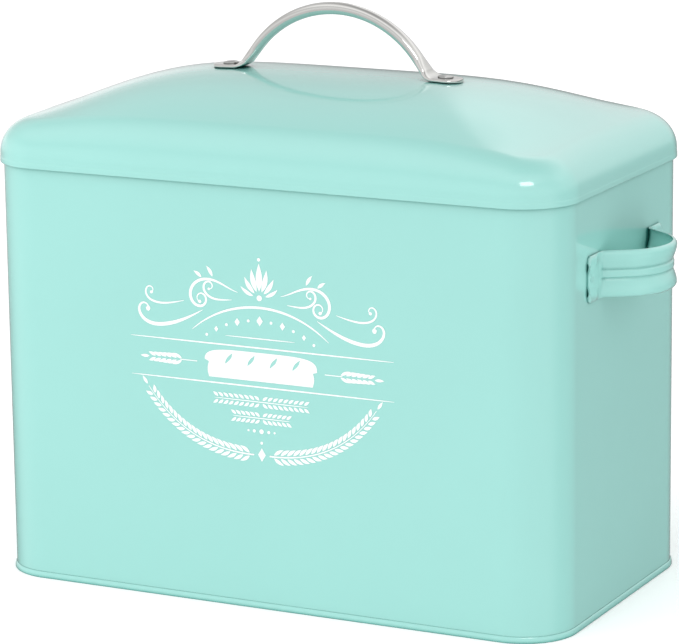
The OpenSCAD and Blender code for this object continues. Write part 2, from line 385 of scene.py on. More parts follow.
def paint_material():
    """Mint gloss enamel with a faint orange peel, a slight drift of tone, paler rubbed edges and
    painted shade that darkens its narrow gaps."""
    n = Nodes("mint_enamel")
    n.set(IOR=1.5, Coat_Weight=1.0, Coat_Roughness=0.03, Coat_IOR=1.5)
    drift = n.noise(7, detail=3)
    tone = n.ramp(drift, 0, [(0.3, shade(MINT, 0.985)), (0.7, shade(MINT, 1.012))])
    edges = n.tree.nodes.new("ShaderNodeNewGeometry")
    rubbed = n.ramp(edges, "Pointiness", [(0.52, (0, 0, 0)), (0.62, (0.35, 0.35, 0.35))])
    pale = n.ramp(drift, 0, [(0.3, MINT_RUBBED[0]), (0.7, MINT_RUBBED[1])])
    worn = n.blend(tone.outputs[0], pale.outputs[0], rubbed.outputs[0])
    # Painted shade: the colour darkens in gaps narrower than 3 mm, such as under the lid's skirt and
    # beside the strap's feet
    n.colour(n.painted_gap_shade(worn, 3 * MM, MINT_PAINTED_SHADE))
    peel = n.noise(650, detail=1)
    waves = n.noise(28, detail=1)
    n.scale(n.noise(90, detail=4), 0, 0.16, 0.24, "Roughness")
    n.bump([(peel, 0.01, 0.0001), (waves, 0.04, 0.0006)])
    return n.material


def chrome_material(name, tint, roughness):
    """Polished plated steel with fine drawn lines along the bar, a few cloudy patches and painted
    shade in its narrow gaps.
    """
    n = Nodes(name)
    n.set(Metallic=1.0, IOR=2.5)
    clouds = n.noise(60, detail=3)
    plate = n.ramp(clouds, 0, [(0.3, shade(tint, 0.94)), (0.7, tint)])
    # Painted shade: dark outlines where the bar's tabs meet the rivets and the lid
    n.colour(n.painted_gap_shade(plate.outputs[0], 1.2 * MM, shade(tint, 0.25)))
    lines = n.noise(900, detail=2, stretch=(0.03, 1, 1))
    n.scale(lines, 0, roughness * 0.75, roughness * 1.35, "Roughness")
    n.bump([(lines, 0.06, 0.00008)])
    return n.material


def washer_material():
    """Zinc-plated steel, ground in rings of fine scratches."""
    n = Nodes("zinc_washer")
    n.set(Metallic=1.0)
    grain = n.noise(1400, detail=2, stretch=(1, 0.08, 1))
    plate = n.ramp(grain, 0, [(0.3, (0.46, 0.47, 0.48)), (0.7, (0.6, 0.6, 0.61))])
    n.colour(plate.outputs[0])
    n.scale(grain, 0, 0.3, 0.45, "Roughness")
    n.bump([(grain, 0.1, 0.0001)])
    return n.material


def print_material():
    """White screen ink: satin, with a slightly uneven lay."""
    n = Nodes("white_ink")
    n.set(IOR=1.5, Coat_Weight=0.25, Coat_Roughness=0.1)
    lay = n.noise(220, detail=4)
    ink = n.ramp(lay, 0, [(0.25, (0.86, 0.93, 0.91)), (0.6, (0.95, 0.97, 0.96))])
    n.colour(ink.outputs[0])
    n.scale(lay, 0, 0.36, 0.48, "Roughness")
    n.bump([(lay, 0.08, 0.0001)])
    return n.material


def floor_material():
    """Matt white board with a little light of its own."""
    n = Nodes("pale_floor")
    n.set(Roughness=0.8, Specular_IOR_Level=0.1, Emission_Strength=0.2)
    n.shader.inputs["Emission Color"].default_value = (1, 1, 1, 1)
    grain = n.noise(3, detail=2)
    board = n.ramp(grain, 0, [(0.3, (0.93, 0.93, 0.93)), (0.7, (0.95, 0.95, 0.95))])
    n.colour(board.outputs[0])
    return n.material


PAINT = paint_material()
CHROME = chrome_material("handle_chrome", (0.7, 0.695, 0.675), 0.09)
RIVET = chrome_material("rivet_chrome", (0.5, 0.5, 0.49), 0.14)
WASHER = washer_material()
INK = print_material()


# ---- Body ----

# The back has close cuts round its middle, where the wrapped sheet is lapped
SEAM_CUTS = [0.5 + side * d * MM / (2 * (wall_high.x - CORNER_R))
             for side in (-1, 1) for d in (0.15, 0.3, 0.5, 0.9, 3)]
SEAM_GROOVE = 0.22 * MM
SEAM_WIDTH = 0.3 * MM

wall_plan = Plan(wall_high.x, wall_high.y, CORNER_R, spread(12) + SEAM_CUTS, spread(8))


def seam_shift(x, y, inset, z):
    """Presses the lapped seam's hairline groove into the outside of the back."""
    outside = y > 0 and abs(inset) < SHEET / 2
    if not outside:
        return x, y, z
    fade = ease((z - RING_H) / (3 * MM)) * ease((wall_high.z - 6 * MM - z) / (3 * MM))
    depth = SEAM_GROOVE * fade * math.exp(-(x / SEAM_WIDTH) ** 2)
    return x, y - depth, z


def make_wall():
    """One wrapped sheet, from the crimped ring up to a rim that is rolled inwards."""
    low, top = wall_low.z, wall_high.z - RIM_R
    support = 1 * MM
    rows = [low, RING_H + support, RING_H + 5 * MM, top - 9 * MM, top - 6 * MM, top - support]
    profile = [(0, z) for z in rows]
    profile += arc_profile(RIM_R, top, RIM_R, 0, 250, 30)
    profile += arc_profile(RIM_R, top, RIM_R - SHEET, 250, 0, 24)
    profile += [(SHEET, z) for z in reversed(rows)]
    shell = Shell()
    loops = profile_rows(shell, wall_plan, profile, seam_shift)
    shell.loft(loops + [loops[0]])
    return shell.build("painted_wall", PAINT)


def make_seam_lap():
    """The inner lap of the back seam, a flat strip with soft long edges."""
    half, thick = 3 * MM, SHEET
    face = wall_high.y - SHEET
    edge = 0.2 * MM
    section = [(-half, 0), (-half, thick - edge), (-half + edge, thick),
               (half - edge, thick), (half, thick - edge), (half, 0)]
    shell = Shell()
    rows = [shell.row([(x, face - d, z) for x, d in section])
            for z in (RING_H + 2 * MM, wall_high.z - 4 * RIM_R)]
    shell.loft(rows)
    shell.faces += [tuple(rows[0]), tuple(rows[1])]
    return shell.build("seam_lap", PAINT, math.radians(20))


def make_base():
    """The bottom sheet: crimped ring with rounded edges, and the raised panel inside it."""
    plan = Plan(wall_high.x, wall_high.y, CORNER_R, spread(16), spread(10))
    proud = pan_high.x - wall_high.x
    inner = SHEET + RING_GAP
    soft = 0.5 * MM
    crease = 0.8 * MM
    panel_top = PANEL_Z + SHEET
    profile = [(inner + crease, panel_top), (inner + 0.3 * MM, panel_top), (inner, panel_top)]
    profile += [(inner, SHEET), (-RING_GAP, SHEET), (-RING_GAP, RING_H - 0.3 * MM)]
    for t in spread(12)[:-1]:
        a = math.radians(mix(85, 0, t))
        profile.append((-RING_GAP - (proud - RING_GAP) * math.cos(a),
                        soft + (RING_H - soft) * math.sin(a)))
    profile += arc_profile(-proud + soft, soft, soft, 0, -90, 6)
    profile += arc_profile(inner + SHEET - 0.2 * MM, 0.2 * MM, 0.2 * MM, 270, 180, 3)
    profile += [(inner + SHEET, PANEL_Z - 0.3 * MM), (inner + SHEET + 0.3 * MM, PANEL_Z),
                (inner + SHEET + crease, PANEL_Z)]
    shell = Shell()
    rows = profile_rows(shell, plan, profile)
    shell.loft(rows)
    for row, (inset, z) in ((rows[0], profile[0]), (rows[-1], profile[-1])):
        fill_plan(shell, row, [[(p.x, p.y, z) for p in line] for line in plan.grid(inset)])
    return shell.build("painted_base", PAINT)


# ---- Lid ----

lid_plan = Plan(lid_high.x, lid_high.y, LID_R, spread(56), spread(28))


def crown(x, y):
    """Rise of the lid's crown: flat-topped along X and rounder along Y."""
    along = max(0.0, 1 - min(1.0, abs(x) / lid_high.x) ** CROWN_SQUARE_X)
    across = max(0.0, 1 - min(1.0, abs(y) / lid_high.y) ** CROWN_SQUARE_Y)
    return CROWN_H * along ** 2 * across


def lid_top(x):
    return SHOULDER_Z + SHOULDER_R + crown(x, 0)


def on_crown(x, y, inset, z):
    """Raises the points of the shoulder with the crown, and leaves the skirt level."""
    return x, y, z + (crown(x, y) if z >= SHOULDER_Z else 0)


# A narrow lip at the skirt's lower edge stands out from the rest of the lid by this much
LIP_STEP = 0.18 * MM
# The lip's outline: shares of the step, and heights in millimetres above the skirt's edge
LIP_OUTLINE = ((1.0, 3.3), (0.8, 3.0), (0.2, 2.7), (0.0, 2.4), (0.0, 1.2))
SHOULDER_STEPS = 20


def shoulder_profile(depth_low, depth_high):
    """The shoulder from the crown down to the skirt, with a depth below the lid's outer face."""
    points = []
    for t in spread(SHOULDER_STEPS):
        a = math.radians(90 * (1 - t))
        r = SHOULDER_R - mix(depth_high, depth_low, t)
        points.append((SHOULDER_R - r * math.cos(a), SHOULDER_Z + r * math.sin(a)))
    return points


def make_lid():
    """The pressed lid: crown, shoulder, straight skirt and the hem folded up inside it."""
    hem_z = lid_low.z + HEM_T / 2
    fold_z = lid_low.z + HEM_H
    outside = shoulder_profile(LIP_STEP, 0)
    outside += [(LIP_STEP * share, lid_low.z + height * MM) for share, height in LIP_OUTLINE]
    outside += arc_profile(HEM_T / 2, hem_z, HEM_T / 2, 0, -180, 12)
    outside += [(HEM_T, fold_z - 0.4 * MM), (HEM_T - 0.15 * MM, fold_z),
                (SHEET + 0.1 * MM, fold_z + 0.05 * MM), (SHEET, fold_z + 0.3 * MM)]
    profile = outside + shoulder_profile(SHEET, SHEET)[::-1]
    shell = Shell()
    rows = profile_rows(shell, lid_plan, profile, on_crown)
    shell.loft(rows)
    for row, depth in ((rows[0], 0), (rows[-1], SHEET)):
        top = SHOULDER_Z + SHOULDER_R - depth
        grid = [[(p.x, p.y, top + crown(p.x, p.y)) for p in line]
                for line in lid_plan.grid(SHOULDER_R)]
        fill_plan(shell, row, grid)
    return shell.build("painted_lid", PAINT)


# ---- Lid handle ----

SLOPE_STEP = 0.5 * MM
RIVET_SLOPE = math.atan((lid_top(RIVET_X - SLOPE_STEP) - lid_top(RIVET_X + SLOPE_STEP))
                        / (2 * SLOPE_STEP))
SECTION_POINTS = 40


class Bar:
    """Works out the arched bar's middle line, and its section at each place along it."""

    def __init__(self):
        self.arch_z = bar_high.z - BAR_SIZE[1] / 2
        self.lift = TAB_SIZE[1] / 2
        self.leg_top = (ARCH_R * math.sin(LEG_SLOPE),
                        self.arch_z - ARCH_R * (1 - math.cos(LEG_SLOPE)))
        drop = BEND_R * (math.cos(RIVET_SLOPE) - math.cos(LEG_SLOPE))
        run = BEND_R * (math.sin(LEG_SLOPE) - math.sin(RIVET_SLOPE))
        fall = (self.leg_top[1] - drop - lid_top(RIVET_X) - self.lift
                - (RIVET_X - self.leg_top[0] - run) * math.tan(RIVET_SLOPE))
        length = fall / (math.sin(LEG_SLOPE) - math.cos(LEG_SLOPE) * math.tan(RIVET_SLOPE))
        self.bend_top = (self.leg_top[0] + length * math.cos(LEG_SLOPE),
                         self.leg_top[1] - length * math.sin(LEG_SLOPE))

    def arch(self, t):
        a = LEG_SLOPE * t
        place = (ARCH_R * math.sin(a), self.arch_z - ARCH_R * (1 - math.cos(a)))
        return place, a, mix_pair(BAR_SIZE, LEG_SIZE, t * t)

    def leg(self, t):
        return mix_pair(self.leg_top, self.bend_top, t), LEG_SLOPE, \
            mix_pair(LEG_SIZE, TAB_SIZE, 0.4 * ease(t))

    def bend(self, t):
        a = mix(LEG_SLOPE, RIVET_SLOPE, t)
        place = (self.bend_top[0] + BEND_R * (math.sin(LEG_SLOPE) - math.sin(a)),
                 self.bend_top[1] + BEND_R * (math.cos(LEG_SLOPE) - math.cos(a)))
        return place, a, mix_pair(LEG_SIZE, TAB_SIZE, 1 - 0.6 * (1 - t) ** 2)

    def tab(self, x):
        """A place past the rivet; the end of the tab is a half circle."""
        half = TAB_SIZE[0] / 2
        past = max(0.0, x - TAB_REACH + half)
        place = (RIVET_X + x * math.cos(RIVET_SLOPE),
                 lid_top(RIVET_X) + self.lift - x * math.sin(RIVET_SLOPE))
        width = 2 * math.sqrt(max(0.0, half * half - past * past))
        return place, RIVET_SLOPE, (max(width, 0.6 * MM), TAB_SIZE[1])

    def half(self):
        stations = [self.arch(t) for t in spread(44)]
        stations += [self.leg(t) for t in spread(14)[1:]]
        stations += [self.bend(t) for t in spread(16)[1:]]
        for t in spread(6)[1:]:
            stations.append(self.tab(mix(-3.2 * MM, TAB_REACH - TAB_SIZE[0] / 2, t)))
        for t in spread(18)[1:]:
            end = TAB_REACH - TAB_SIZE[0] / 2 * (1 - math.sin(t * math.pi / 2))
            stations.append(self.tab(end))
        return stations

    def whole(self):
        half = self.half()
        left = [((-p[0], p[1]), -a, size) for p, a, size in half[:0:-1]]
        return left + half


def bar_section(place, slope, size):
    """One section: round at the top of the arch, and squarer where the bar is flattened."""
    power = mix(0.42, 1.0, (size[1] - TAB_SIZE[1]) / (BAR_SIZE[1] - TAB_SIZE[1]))
    points = []
    for i in range(SECTION_POINTS):
        a = 2 * math.pi * (i + 0.5) / SECTION_POINTS
        across = size[0] / 2 * math.copysign(abs(math.cos(a)) ** power, math.cos(a))
        out = size[1] / 2 * math.copysign(abs(math.sin(a)) ** power, math.sin(a))
        points.append((place[0] + out * math.sin(slope), across,
                       place[1] + out * math.cos(slope)))
    return points


def make_bar():
    shell = Shell()
    stations = Bar().whole()
    rows = [shell.row(bar_section(*s)) for s in stations]
    shell.loft(rows)
    for row, (place, _, _) in ((rows[0], stations[0]), (rows[-1], stations[-1])):
        shell.fan(row, (place[0], 0, place[1]))
    return shell.build("chrome_bar", CHROME, math.radians(60))


def lathe(shell, profile, place, steps=56):
    """Turns a profile of (radius, height) round an upright axis and closes both ends."""
    rows = []
    for radius, height in profile[1:-1]:
        ring = []
        for k in range(steps):
            spoke = polar(radius, 2 * math.pi * k / steps)
            ring.append(place(spoke.x, spoke.y, height))
        rows.append(shell.row(ring))
    shell.loft(rows)
    shell.fan(rows[0], place(0, 0, profile[0][1]))
    shell.fan(rows[-1], place(0, 0, profile[-1][1]))


def at_rivet(side):
    """Gives the map from a rivet's own axes to the lid."""
    c, s = math.cos(RIVET_SLOPE), math.sin(RIVET_SLOPE)

    def place(x, y, z):
        return side * (RIVET_X + x * c + z * s), y, lid_top(RIVET_X) - x * s + z * c
    return place


def button_profile(diameter, height, start, upwards):
    """Half the outline of a low dome with a small rounded edge, from its middle outwards."""
    lip = 0.35 * MM
    points = []
    for t in spread(8):
        r = (diameter / 2 - lip) * t
        points.append((r, start + upwards * (height - (height - 2.2 * lip) * t ** 2.2)))
    for t in spread(5)[1:]:
        a = math.pi / 2 * t
        points.append((diameter / 2 - lip + lip * math.sin(a),
                       points[8][1] - upwards * lip * (1 - math.cos(a))))
    points.append((diameter / 2, start))
    return points


def make_rivet(side, name):
    """A rivet with a low domed head on the tab, clinched over the washer under the lid."""
    head = button_profile(HEAD_D, HEAD_H, TAB_SIZE[1], 1)
    clinch = button_profile(CLINCH_D, CLINCH_H, -WASHER_BOTTOM, -1)
    shank = [(RIVET_D / 2, TAB_SIZE[1]), (RIVET_D / 2, -WASHER_BOTTOM)]
    shell = Shell()
    lathe(shell, head + shank + clinch[::-1], at_rivet(side))
    return shell.build(name, RIVET)


# ---- End handles ----

def relief(u):
    """Relief pressed in the strap at a fraction u of its half height: a wide valley with a bead
    along its middle, a groove on each side of the bead, and edges that curl back."""
    v = abs(u)
    shore = 0.82
    edge = 1.2 * MM * (max(0.0, v - shore) / (1 - shore)) ** 2
    valley = VALLEY_D * (0.5 + 0.5 * math.cos(math.pi * v / shore)) if v < shore else 0.0
    bead = BEAD_H * (1 - ease((v - 0.11) / 0.07))
    groove = 0.4 * MM * math.exp(-((v - 0.21) / 0.035) ** 2)
    return bead - edge - valley - groove


class Strap:
    """Works out the loop of the right end handle in plan, and its section along the way."""

    ROWS = 44
    FOOT_BOW = 0.7
    FOOT_CORNER = 3.2 * MM
    BOW_RUN = 6 * MM
    DIMPLE_INSET = 5 * MM
    DIMPLE_R = 3.0 * MM
    DIMPLE_DEPTH = 0.6 * MM

    def __init__(self):
        self.reach = strap_high.x - wall_high.x
        self.half_height = (strap_high.z - strap_low.z) / 2
        self.middle_z = (strap_high.z + strap_low.z) / 2
        self.foot_end = strap_high.y
        self.loop_x = self.reach - STRAP_LOOP_R
        start = (self.loop_x + STRAP_LOOP_R * math.cos(STRAP_TURN),
                 STRAP_LOOP_R * math.sin(STRAP_TURN))
        height = STRAP_T + STRAP_BEND_R * (1 - math.cos(STRAP_TURN))
        self.loop_end = start
        self.bend_end = (height, start[1] + (start[0] - height) / math.tan(STRAP_TURN))
        self.foot_start = self.bend_end[1] + STRAP_BEND_R * math.sin(STRAP_TURN)

    def loop(self, t):
        a = STRAP_TURN * t
        return (self.loop_x + STRAP_LOOP_R * math.cos(a), STRAP_LOOP_R * math.sin(a)), a, 1.0

    def leg(self, t):
        return mix_pair(self.loop_end, self.bend_end, t), STRAP_TURN, 1.0

    def bend(self, t):
        a = STRAP_TURN * (1 - t)
        place = (STRAP_T + STRAP_BEND_R * (1 - math.cos(a)),
                 self.foot_start - STRAP_BEND_R * math.sin(a))
        return place, a, (1 - t) ** 3

    def foot(self, t):
        return (STRAP_T, mix(self.foot_start, self.foot_end, t)), 0.0, 0.0

    def half(self):
        stations = [self.loop(t) for t in spread(36)]
        stations += [self.leg(t) for t in spread(10)[1:]]
        stations += [self.bend(t) for t in spread(12)[1:]]
        return stations + [self.foot(t) for t in spread(26)[1:]]

    def whole(self):
        half = self.half()
        left = [((p[0], -p[1]), -a, depth) for p, a, depth in half[:0:-1]]
        return left + half

    def height_at(self, along):
        """Half height of the strap: the corners of each foot are rounded."""
        past = max(0.0, abs(along) - self.foot_end + self.FOOT_CORNER)
        rounding = math.sqrt(max(0.0, self.FOOT_CORNER ** 2 - past ** 2))
        return self.half_height - self.FOOT_CORNER + rounding

    def out(self, u, depth, along, z):
        """How far the face stands off the plain strap, with the foot's bow and weld dimple."""
        bow = self.FOOT_BOW * (VALLEY_D - BEAD_H + relief(u)) * (1 - depth)
        bow *= ease((abs(along) - self.foot_start) / self.BOW_RUN)
        centre = self.foot_end - self.DIMPLE_INSET
        away = math.hypot(abs(along) - centre, z) / self.DIMPLE_R
        dimple = self.DIMPLE_DEPTH * (1 - ease(away)) if depth == 0 else 0
        return depth * relief(u) + max(0.0, bow) - dimple

    def section(self, side, place, heading, depth):
        half = self.height_at(place[1])
        outer, inner = [], []
        for t in spread(self.ROWS):
            u = 1 - 2 * t
            z = u * half
            face = self.out(u, depth, place[1], z)
            for points, off in ((outer, face), (inner, face - STRAP_T)):
                off = max(off, -STRAP_T) if depth == 0 else off
                x = wall_high.x + place[0] + off * math.cos(heading)
                y = place[1] + off * math.sin(heading)
                points.append((side * x, y, self.middle_z + z))
        return outer + inner[::-1]


def make_strap(side, name):
    strap = Strap()
    shell = Shell()
    rows = [shell.row(strap.section(side, *station)) for station in strap.whole()]
    shell.loft(rows)
    for row in (rows[0], rows[-1]):
        count = len(row)
        for i in range(count // 2 - 1):
            shell.faces.append((row[i], row[i + 1], row[count - 2 - i], row[count - 1 - i]))
    return shell.build(name, PAINT, math.radians(50))


# ---- Printed ornament ----

# Height of the ornament's middle, thickness of the ink, and how far the ink goes into the wall
PRINT_Z = 129 * MM
INK_T = 0.1 * MM
INK_BITE = 0.005 * MM


class Stamp:
    """Collects closed outlines, in millimetres on the front, and makes one thin piece of them."""

    def __init__(self):
        self.shapes = []

    def add(self, *outlines):
        """One filled shape: its outline, and then the outlines of its holes."""
        self.shapes.append(outlines)

    def add_both(self, outline):
        """A shape and its mirror image about the middle."""
        self.add(outline)
        self.add([(-x, z) for x, z in outline])

    def ribbon(self, path, width, both=False):
        """A stroke along a path; width gives its width at each fraction of the way."""
        left, right = [], []
        for i, (x, z) in enumerate(path):
            a = path[max(0, i - 1)]
            b = path[min(len(path) - 1, i + 1)]
            along = Vector((b[0] - a[0], b[1] - a[1])).normalized()
            half = width(i / (len(path) - 1)) / 2
            left.append((x - along.y * half, z + along.x * half))
            right.append((x + along.y * half, z - along.x * half))
        outline = left + right[::-1]
        if both:
            self.add_both(outline)
        else:
            self.add(outline)

    def disc(self, x, z, radius, both=False, steps=20):
        circle = []
        for k in range(steps):
            spoke = polar(radius, 2 * math.pi * k / steps)
            circle.append((x + spoke.x, z + spoke.y))
        if both:
            self.add_both(circle)
        else:
            self.add(circle)

    def leaf(self, x, z, angle, length, width, bend=0.0, both=False):
        """A pointed leaf or grain that starts at a point and grows at an angle in degrees."""
        steps = 12
        path = []
        heading = math.radians(angle)
        place = Vector((x, z))
        for _ in range(steps + 1):
            path.append((place.x, place.y))
            place = place + polar(length / steps, heading)
            heading += math.radians(bend) / steps
        self.ribbon(path, lambda t: max(0.06, width * math.sin(math.pi * t ** 0.85)), both)

    def fill(self, work, outlines):
        """Adds one filled shape to the mesh work, lying flat and as thick as the ink."""
        curve = bpy.data.curves.new("outline", "CURVE")
        curve.dimensions = "2D"
        curve.fill_mode = "BOTH"
        curve.extrude = INK_T / 2
        for outline in outlines:
            spline = curve.splines.new("POLY")
            spline.points.add(len(outline) - 1)
            for point, (x, z) in zip(spline.points, outline):
                point.co = (x * MM, z * MM, 0, 1)
            spline.use_cyclic_u = True
        holder = bpy.data.objects.new("outline", curve)
        mesh = bpy.data.meshes.new_from_object(holder)
        work.from_mesh(mesh)
        bpy.data.objects.remove(holder)
        bpy.data.curves.remove(curve)
        bpy.data.meshes.remove(mesh)

    def build(self, name):
        """Fills all the shapes and stands them up against the front of the wall."""
        work = bmesh.new()
        for outlines in self.shapes:
            self.fill(work, outlines)
        bmesh.ops.remove_doubles(work, verts=work.verts, dist=1e-7)
        front = wall_low.y - INK_T / 2 + INK_BITE
        for v in work.verts:
            x, z, depth = v.co
            v.co = (x, front - depth, PRINT_Z + z)
        bmesh.ops.recalc_face_normals(work, faces=work.faces)
        mesh = bpy.data.meshes.new(name)
        work.to_mesh(mesh)
        work.free()
        mesh.materials.append(INK)
        piece = bpy.data.objects.new(name, mesh)
        bpy.context.scene.collection.objects.link(piece)
        return piece


def swelling(thin, thick, power=0.7):
    """Width of a stroke that is thin at both ends and thick in the middle."""
    return lambda t: thin + (thick - thin) * math.sin(math.pi * min(1.0, max(0.0, t))) ** power


def with_drop(stroke, size, share):
    """The same stroke, but ending in a round drop that takes up a share of its length."""
    def width(t):
        along = 2 * (t - 1 + share) / share - 1
        if along <= -1:
            return stroke(t)
        return max(stroke(t), size * math.sqrt(max(0.0, 1 - along ** 2)))
    return width


def curl(x, z, angle, length, turns, steps=110):
    """A path from a point: turns are its bends, in degrees per millimetre, at even distances."""
    path = []
    heading = math.radians(angle)
    place = Vector((x, z))
    for k in range(steps + 1):
        path.append((place.x, place.y))
        part = (len(turns) - 1) * k / steps
        i = min(int(part), len(turns) - 2)
        heading += math.radians(mix(turns[i], turns[i + 1], part - i)) * length / steps
        place = place + polar(length / steps, heading)
    return path


def stamp_rules(stamp):
    """Two long rules, thin at their ends, above and below the loaf."""
    for z in (-10.3, 10.3):
        stamp.ribbon([(mix(-76, 76, t), z) for t in spread(24)], swelling(0.2, 0.8, 0.4))


def loaf_edge(t):
    """Outline of a farmhouse loaf, anticlockwise from its bottom left, as t goes from 0 to 1."""
    half, base, waist = 30.0, -7.4, 0.6
    crust, rise, bulge = 32.5, 7.2, 0.8
    if t < 0.3:
        return mix(-half, half, t / 0.3), base
    if t < 0.4:
        s = (t - 0.3) / 0.1
        return half + bulge * math.sin(math.pi * s), mix(base, waist, s)
    if t < 0.9:
        a = math.pi * (t - 0.4) / 0.5
        return crust * math.copysign(abs(math.cos(a)) ** 0.42, math.cos(a)), \
            waist + rise * math.sin(a) ** 0.62
    s = (t - 0.9) / 0.1
    return -half - bulge * math.sin(math.pi * s), mix(waist, base, s)


def stamp_loaf(stamp):
    """A solid loaf with four slanting cuts in its crust."""
    outline = [loaf_edge(t) for t in spread(110)[:-1]]
    cuts = []
    for x in (-20.5, -7.5, 5.5, 18.5):
        left, right = [], []
        for t in spread(10):
            middle, z = x + 4.2 * t, mix(0.2, 6.0, t)
            half = 1.1 * math.sin(math.pi * t) + 0.05
            left.append((middle - half, z))
            right.append((middle + half, z))
        cuts.append(left + right[::-1])
    stamp.add(outline, *cuts)


def stamp_ear(stamp):
    """An ear of wheat lying on each side of the loaf, pointing outwards."""
    stamp.ribbon([(mix(37, 47, t), 0) for t in spread(4)], lambda t: 0.5, both=True)
    for k in range(6):
        x = 46 + 3.1 * k
        size = 6.2 - 0.35 * k
        for turn in (-1, 1):
            stamp.leaf(x, turn * 0.55, turn * 30, size, 1.7, -turn * 16, both=True)
    stamp.leaf(65.2, 0, 0, 5.4, 1.6, both=True)


def arc_path(radius, top, half_angle, steps=40):
    """An arc with its highest point at height top over the middle."""
    return [(radius * math.sin(a), top - radius * (1 - math.cos(a)))
            for a in (math.radians(mix(-half_angle, half_angle, t)) for t in spread(steps))]


def stamp_arch(stamp):
    """An arch over a row of lozenges and beads."""
    stamp.ribbon(arc_path(60, 31.5, 41), swelling(0.25, 1.3))
    for k in range(6):
        a = math.radians(7 * k)
        x, z = 54 * math.sin(a), 24.5 - 54 * (1 - math.cos(a))
        if k % 2:
            stamp.disc(x, z, 0.8, both=True)
        else:
            size = 2.6 - 0.25 * k
            stamp.add_both([(x, z - size), (x + size * 0.7, z), (x, z + size), (x - size * 0.7, z)])
    stamp.ribbon([(mix(-20, 20, t), 15.2) for t in spread(16)], swelling(0.15, 0.6, 0.5))


def stamp_crest(stamp):
    """A fan of leaves over the middle of the arch, with a bead at its root."""
    root = Vector((0, 36.5))
    for angle, length, width, bend in ((90, 14.5, 3.6, 0), (66, 12, 2.9, 22), (42, 10, 2.4, 28),
                                       (16, 8.5, 1.9, 34)):
        start = root + polar(3.6, math.radians(angle))
        stamp.leaf(start.x, start.y, angle, length, width, bend, both=angle < 90)
    stamp.disc(root.x, root.y, 1.5)
    stamp.disc(0, 56.6, 0.9)


def stamp_curls(stamp):
    """Plain curls that run out from the crest on both sides, with a leaf in each gap."""
    curls = ((12.5, 38.5, 12, 60, (3.2, -2.2, -5.5, -9, -17, -30), 1.6, 1.9),
             (16, 34.2, -4, 31, (-1, 2.5, 9, 22, 38), 1.2, 1.4),
             (33, 27.5, -30, 54, (0.2, 0.8, 1.8, 8, 32), 2.0, 2.6),
             (44, 31.5, -16, 35, (0.5, 1, 4, 17, 46), 1.1, 1.7))
    for x, z, angle, length, turns, thick, drop in curls:
        width = with_drop(swelling(0.25, thick, 0.9), drop, drop / length)
        stamp.ribbon(curl(x, z, angle, length, turns), width, both=True)
    for x, z, angle, length in ((27, 45.5, 68, 6.5), (33.5, 44.6, 46, 5.5)):
        stamp.leaf(x, z, angle, length, 1.8, -24, both=True)


def stamp_vines(stamp):
    """Two rows of small leaves under the loaf, each over a thin stem, and beads below them."""
    for z, reach, count in ((-18.2, 27, 9), (-26.8, 16.5, 6)):
        stamp.ribbon([(mix(-reach, reach, t), z) for t in spread(16)], swelling(0.15, 0.5, 0.4))
        for k in range(count):
            x = reach * (k + 0.35) / count
            stamp.leaf(x, z + 0.8, 48, 3.7, 1.5, -26, both=True)
            stamp.leaf(x, z - 0.8, -48, 3.7, 1.5, 26, both=True)
    for x, radius in ((0, 1.25), (4.2, 0.85), (7.6, 0.6)):
        stamp.disc(x, -33.8, radius, both=x > 0)


def stamp_branches(stamp):
    """Two leafy branches that rise from the bottom middle, and a lozenge between them."""
    a, b, c = Vector((4.5, -46.5)), Vector((44, -47)), Vector((66, -16))
    path = [a.lerp(b, t).lerp(b.lerp(c, t), t) for t in spread(60)]
    stamp.ribbon([tuple(p) for p in path], lambda t: 0.8 - 0.5 * t, both=True)
    for k in range(2, 58, 3):
        along = path[k + 1] - path[k - 1]
        angle = math.degrees(math.atan2(along.y, along.x))
        for turn in (-1, 1):
            side = turn * Vector((-along.y, along.x)).normalized() * 0.75
            start = path[k] + side
            stamp.leaf(start.x, start.y, angle + turn * 40, mix(6.6, 4.4, k / 58), 1.9,
                       -turn * 20, both=True)
    tip = path[-1] + polar(1.2, math.radians(55))
    stamp.leaf(tip.x, tip.y, 55, 5, 1.7, both=True)
    stamp.add([(0, -49.8), (2.2, -46.2), (0, -42.6), (-2.2, -46.2)])
    stamp.disc(0, -39.9, 0.8)


def make_print():
    """A generic bakery ornament: a loaf between rules, wheat, leaves and plain curls."""
    stamp = Stamp()
    for part in (stamp_rules, stamp_loaf, stamp_ear, stamp_arch, stamp_crest, stamp_curls,
                 stamp_vines, stamp_branches):
        part(stamp)
    return stamp.build("front_print")


# ---- The object ----

def place_piece(piece, body, slot, *nodes):
    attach(piece, body)
    if nodes:
        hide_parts(*nodes)


def make_object():
    place_piece(make_wall(), "box", "paint", "body_wall")
    place_piece(make_seam_lap(), "box", "paint")
    place_piece(make_base(), "box", "paint", "base_pan")
    place_piece(make_strap(1, "strap_right"), "box", "paint", "side_handle_right")
    place_piece(make_strap(-1, "strap_left"), "box", "paint", "side_handle_left")
    place_piece(make_print(), "box", "print")
    place_piece(make_lid(), "lid", "paint", "lid_shell")
    place_piece(make_bar(), "lid", "handle_chrome", "lid_handle")
    for side, end in ((1, "right"), (-1, "left")):
        rivet = make_rivet(side, "rivet_" + end)
        place_piece(rivet, "lid", "rivet", "lid_rivet_" + end)
        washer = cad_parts["lid_washer_" + end]
        washer.data.materials.clear()
        washer.data.materials.append(WASHER)


# ---- Stage, light and camera ----

